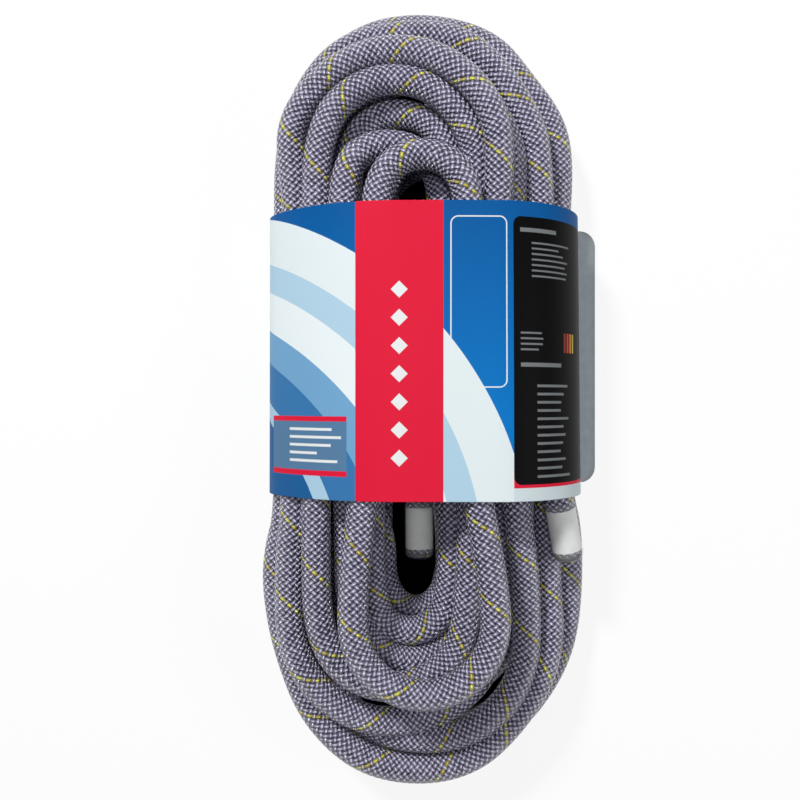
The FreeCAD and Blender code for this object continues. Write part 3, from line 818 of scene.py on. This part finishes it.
# Coated folding boxboard, offset printed and satin: broad arcs in blues, a red band with a
# column of lozenges, a black panel with plain bars and colour chips, and an empty white frame.
def printedMaterial():
    values = printValues
    material, tree = newMaterial("printedCoatedBoard")
    place = addNode(tree, "UVMap", uv_map="UVMap")
    split = addNode(tree, "SeparateXYZ", [place])
    across, along = split.outputs[0], split.outputs[1]
    rise = addNode(tree, "MapRange", {0: along, 1: -5.0, 2: 54.0})
    colour = addNode(tree, "Mix", {0: rise, 6: values["skyLow"], 7: values["skyTop"]},
                     data_type="RGBA")
    reached = addNode(tree, "VectorMath", [place, values["arcCentre"]], operation="DISTANCE")
    for radius, ink in values["arcs"]:
        inward = addNode(tree, "Math", [reached, radius], operation="SUBTRACT")
        colour = inked(tree, colour, inward, ink)

    left, right, low, high = values["note"]
    colour = inked(tree, colour, boxDistance(tree, across, along, values["note"], 0.2),
                   values["slate"])
    for box in ((left, right, high - 1.4, high), (left, right, low, low + 1.5)):
        colour = inked(tree, colour, boxDistance(tree, across, along, box, 0.1), values["red"])
    rows = barRows(tree, across, along, (left + 8.5, right - 1.0, low + 3.0, high - 2.5),
                   2.2, 0.75, 3.0)
    colour = inked(tree, colour, rows, values["white"])

    left, right = values["stripe"]
    colour = inked(tree, colour, boxDistance(tree, across, along, (left, right, -60.0, 90.0), 0.0),
                   values["red"])
    middle, half, spacing, low, high = values["lozenges"]
    lifted = addNode(tree, "Math", [along, low], operation="SUBTRACT")
    rowed = addNode(tree, "Math", [lifted, spacing], operation="DIVIDE")
    share = addNode(tree, "Math", [rowed], operation="FRACT")
    centred = addNode(tree, "Math", [share, 0.5], operation="SUBTRACT")
    off = addNode(tree, "Math", [centred], operation="ABSOLUTE")
    shifted = addNode(tree, "Math", [across, middle], operation="SUBTRACT")
    aside = addNode(tree, "Math", [shifted], operation="ABSOLUTE")
    spread = addNode(tree, "Math", [off, spacing, aside], operation="MULTIPLY_ADD")
    lozenge = addNode(tree, "Math", [spread, half], operation="SUBTRACT")
    column = boxDistance(tree, across, along, (middle - 4.0, middle + 4.0, low, high), 0.0)
    marked = addNode(tree, "Math", [lozenge, column], operation="MAXIMUM")
    colour = inked(tree, colour, marked, values["white"])

    frameLine = boxDistance(tree, across, along, values["frameBox"], 2.0)
    outline = addNode(tree, "Math", [frameLine], operation="ABSOLUTE")
    rim = addNode(tree, "Math", [outline, values["frameLine"]], operation="SUBTRACT")
    colour = inked(tree, colour, rim, values["white"])

    left, right, low, high = values["panel"]
    foot = boxDistance(tree, across, along, (left, right + 4.0, -30.0, low + 4.0), 0.1)
    colour = inked(tree, colour, foot, values["pale"])
    edging = boxDistance(tree, across, along, (left, right + 4.0, low - 0.9, low + 4.0), 0.1)
    colour = inked(tree, colour, edging, values["red"])
    colour = inked(tree, colour, boxDistance(tree, across, along, values["panel"], 2.2),
                   values["black"])
    for box, spacing, height, seed in values["bars"]:
        rows = barRows(tree, across, along, box, spacing, height, seed)
        colour = inked(tree, colour, rows, values["grey"])
    for left, ink in values["chips"]:
        box = (left, left + values["chipWidth"], *values["chipRow"])
        colour = inked(tree, colour, boxDistance(tree, across, along, box, 0.1), ink)

    # white shows through where the edges are worn; the UV map is in millimetres
    worn = addNode(tree, "TexNoise", {"Vector": place, "Scale": 1.0 / values["wornSize"],
                                      "Detail": 5.0})
    middle, reach = sleeveValues["middle"], sleeveValues["height"] / 2.0
    lifted = addNode(tree, "Math", [along, middle], operation="SUBTRACT")
    outward = addNode(tree, "Math", [lifted], operation="ABSOLUTE")
    inward = addNode(tree, "Math", [reach, outward], operation="SUBTRACT")
    scuff = addNode(tree, "Math", [worn, inward], operation="SUBTRACT")
    scuffed = addNode(tree, "MapRange", {0: scuff, 1: 0.56, 2: 0.72})
    colour = addNode(tree, "Mix", {0: scuffed, 6: colour, 7: values["worn"]}, data_type="RGBA")

    bump = addNode(tree, "Bump", {"Strength": 0.15, "Distance": mm(0.05), "Height": worn})
    shader = addNode(tree, "BsdfPrincipled", {"Base Color": colour, "Roughness": 0.5, "IOR": 1.5,
                                              "Specular IOR Level": 0.06, "Normal": bump})
    addNode(tree, "OutputMaterial", [shader])
    return material


boardValues = {
    # dark and light colour, size of the fibre's clouds
    "back": ("#98A1A5", "#AFB6B9", 2.5),
    "cut": ("#C4C7C7", "#ECEDEB", 0.6667),
}


# The board's back and its cut edge: grey with fibre clouds at the back, near white at the cut.
def boardMaterial(name, dark, light, size):
    material, tree = newMaterial(name)
    place = addNode(tree, "TexCoord")
    fibre = addNode(tree, "TexNoise", {"Vector": place.outputs["Object"], "Detail": 6.0,
                                       "Scale": grains(size)})
    colour = addNode(tree, "Mix", {0: fibre, 6: dark, 7: light}, data_type="RGBA")
    bump = addNode(tree, "Bump", {"Strength": 0.25, "Distance": mm(0.05), "Height": fibre})
    shader = addNode(tree, "BsdfPrincipled", {"Base Color": colour, "Roughness": 0.7,
                                              "IOR": 1.47, "Normal": bump})
    addNode(tree, "OutputMaterial", [shader])
    return material


printedBoard = printedMaterial()
greyBoard = boardMaterial("uncoatedBoardBack", *boardValues["back"])
cutBoard = boardMaterial("cutBoardEdge", *boardValues["cut"])
sleeve = buildSleeve([printedBoard, greyBoard, cutBoard])
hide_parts("card_sleeve")
print("sleeve made")


glueValues = {"dark": "#CFC49A", "light": "#E8E0C2", "lump": 1.6667}


# Hot-melt glue: cream, waxy, with soft lumps.
def glueMaterial():
    material, tree = newMaterial("hotMeltGlue")
    place = addNode(tree, "TexCoord")
    lump = addNode(tree, "TexNoise", {"Vector": place.outputs["Object"], "Detail": 2.0,
                                      "Scale": grains(glueValues["lump"])})
    colour = addNode(tree, "Mix", {0: lump, 6: glueValues["dark"], 7: glueValues["light"]},
                     data_type="RGBA")
    bump = addNode(tree, "Bump", {"Strength": 0.5, "Distance": mm(0.1), "Height": lump})
    shader = addNode(tree, "BsdfPrincipled", {"Base Color": colour, "Roughness": 0.45,
                                              "IOR": 1.48, "Normal": bump})
    addNode(tree, "OutputMaterial", [shader])
    return material


glueObject = bpy.data.objects["seam_glue"]
glueObject.data.materials.clear()
glueObject.data.materials.append(glueMaterial())
print("glue dressed")


studioValues = {
    "floorSize": 3.0, "floorDrop": 0.0004,
    "shadow": (-38.0, 38.5, -103.0, 102.0),  # the floor under the hank, painted near-black as its shadow
    "shadowRound": 0.49, "shadowFade": 9.0,  # corner as a share of the width, soft edge
    "paintedShadow": "#040404", "paint": "#F4F4F4", "glow": 0.85,
    "world": 0.09,
    "key": (-380.0, 560.0, 700.0, 150.0, 7.4),  # place, size, watts
    "top": (-40.0, 60.0, 900.0, 200.0, 2.1),
    "fill": (460.0, -40.0, 420.0, 260.0, 0.9),
}


def paleFloor():
    material, tree = newMaterial("paleStudioFloor")
    rays = addNode(tree, "LightPath")
    direct = addNode(tree, "Math", [rays.outputs["Is Camera Ray"], rays.outputs["Is Glossy Ray"]],
                     operation="MAXIMUM")
    seen = addNode(tree, "Math", [direct, rays.outputs["Is Transmission Ray"]],
                   operation="MAXIMUM")
    # painted shadow: under the hank the floor is painted near-black and has no glow, so that its
    # holes look black
    place = addNode(tree, "TexCoord")
    split = addNode(tree, "SeparateXYZ", [place.outputs["Object"]])
    reach = studioValues["shadow"]
    outline = boxDistance(tree, split.outputs[0], split.outputs[1], [mm(side) for side in reach],
                          mm(reach[1] - reach[0]) * studioValues["shadowRound"])
    clear = addNode(tree, "MapRange", {0: outline, 1: 0.0, 2: mm(studioValues["shadowFade"])},
                    interpolation_type="SMOOTHSTEP")
    # painted shadow: near-black under the hank, the pale paint elsewhere
    paint = addNode(tree, "Mix", {0: clear, 6: studioValues["paintedShadow"],
                                  7: studioValues["paint"]}, data_type="RGBA")
    bright = addNode(tree, "Math", [clear, studioValues["glow"]], operation="MULTIPLY")
    share = addNode(tree, "Math", [seen, bright], operation="MULTIPLY")
    matte = addNode(tree, "BsdfDiffuse", [paint])
    glow = addNode(tree, "Emission", ["#FFFFFF", 1.0])
    mixed = addNode(tree, "MixShader", [share, matte, glow])
    # open from below, so that the underside can be looked at
    side = addNode(tree, "NewGeometry")
    nothing = addNode(tree, "BsdfTransparent")
    oneWay = addNode(tree, "MixShader", [side.outputs["Backfacing"], mixed, nothing])
    addNode(tree, "OutputMaterial", [oneWay])
    work = bmesh.new()
    bmesh.ops.create_grid(work, x_segments=1, y_segments=1, size=studioValues["floorSize"] / 2.0)
    bmesh.ops.translate(work, verts=work.verts, vec=(0.0, 0.0, -studioValues["floorDrop"]))
    mesh = bpy.data.meshes.new("studioFloor")
    work.to_mesh(mesh)
    work.free()
    mesh.materials.append(material)
    floor = bpy.data.objects.new("studioFloor", mesh)
    scene.collection.objects.link(floor)


def paleWorld():
    world = bpy.data.worlds.new("paleRoom")
    scene.world = world
    world.use_nodes = True
    tree = world.node_tree
    tree.nodes.clear()
    rays = addNode(tree, "LightPath")
    seen = addNode(tree, "Math", [rays.outputs["Is Camera Ray"],
                                  rays.outputs["Is Transmission Ray"]], operation="MAXIMUM")
    strength = addNode(tree, "MapRange", {0: seen, 3: studioValues["world"], 4: 1.0})
    light = addNode(tree, "Background", ["#FFFFFF", strength])
    addNode(tree, "OutputWorld", [light])


def softLamp(name):
    x, y, z, size, watts = studioValues[name]
    lamp = bpy.data.lights.new(name + "Lamp", "AREA")
    lamp.shape = "DISK"
    lamp.size = mm(size)
    lamp.energy = watts
    holder = bpy.data.objects.new(name + "Lamp", lamp)
    holder.location = (mm(x), mm(y), mm(z))
    holder.rotation_euler = (-holder.location).to_track_quat("-Z", "Y").to_euler()
    scene.collection.objects.link(holder)


paleFloor()
paleWorld()
softLamp("key")
softLamp("top")
softLamp("fill")
print("studio lit")
